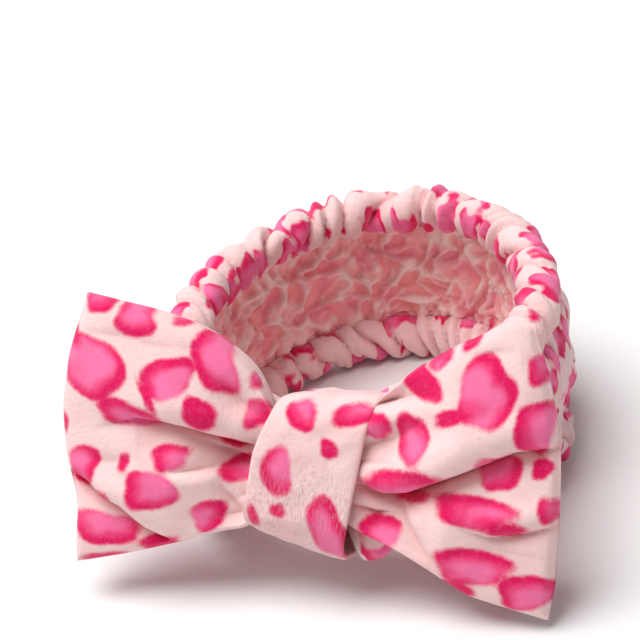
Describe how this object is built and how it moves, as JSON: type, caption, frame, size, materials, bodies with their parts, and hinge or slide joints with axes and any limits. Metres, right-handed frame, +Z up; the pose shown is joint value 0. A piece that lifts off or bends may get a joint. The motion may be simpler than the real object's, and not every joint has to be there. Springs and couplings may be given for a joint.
{
  "type": "spa headband",
  "caption": "Soft gathered plush headband with an elastic in each hem and a large padded bow held on its front by a wrapped knot.",
  "frame": {"origin": "under the middle of the bounding box, on the surface that the headband stands on", "axes": "+Z up, through the head opening; -Y towards the bow's front; +X to the right seen from the front"},
  "size_m": [0.204, 0.2224, 0.1207],
  "materials": {
    "printed_plush": "short-pile pink plush with a two-tone spot print",
    "satin_lining": "smooth salmon-pink knitted backing with a soft sheen",
    "wadding": "white polyester wadding",
    "elastic_web": "white woven elastic",
    "sewing_thread": "pink spun thread"
  },
  "bodies": {
    "root": {"plush_front": "printed_plush", "plush_right": "printed_plush", "plush_left": "printed_plush", "lining_front": "satin_lining", "lining_right": "satin_lining", "lining_left": "satin_lining", "top_elastic": "elastic_web", "bottom_elastic": "elastic_web", "top_hem_thread": "sewing_thread", "bottom_hem_thread": "sewing_thread", "top_elastic_tack_left": "sewing_thread", "top_elastic_tack_right": "sewing_thread", "bottom_elastic_tack_left": "sewing_thread", "bottom_elastic_tack_right": "sewing_thread", "bow_waist": "printed_plush", "gathering_thread": "sewing_thread", "knot_wrap": "printed_plush", "knot_seam_thread": "sewing_thread"},
    "rear": {"plush_rear": "printed_plush", "lining_rear": "satin_lining"},
    "left_wing": {"left_wing_front": "printed_plush", "left_wing_back": "printed_plush", "left_wing_wadding": "wadding"},
    "right_wing": {"right_wing_front": "printed_plush", "right_wing_back": "printed_plush", "right_wing_wadding": "wadding"}
  },
  "joints": [
    {"name": "band_stretch", "type": "slide", "parent": "root", "child": "rear", "axis": [0, 1, 0], "range_m": [0, 0.045], "stiffness_N_per_m": 160, "deforming": ["plush_left", "plush_right", "lining_left", "lining_right", "top_elastic", "bottom_elastic", "top_hem_thread", "bottom_hem_thread"]},
    {"name": "left_wing_flex", "type": "hinge", "parent": "root", "child": "left_wing", "pos_m": [-0.027, -0.08415, 0.05742], "axis": [0, 0.4067, 0.9135], "range_deg": [-17, 35], "stiffness_Nm_per_rad": 0.06},
    {"name": "right_wing_flex", "type": "hinge", "parent": "root", "child": "right_wing", "pos_m": [0.027, -0.08415, 0.05742], "axis": [0, -0.4067, -0.9135], "range_deg": [-17, 35], "stiffness_Nm_per_rad": 0.06}
  ]
}
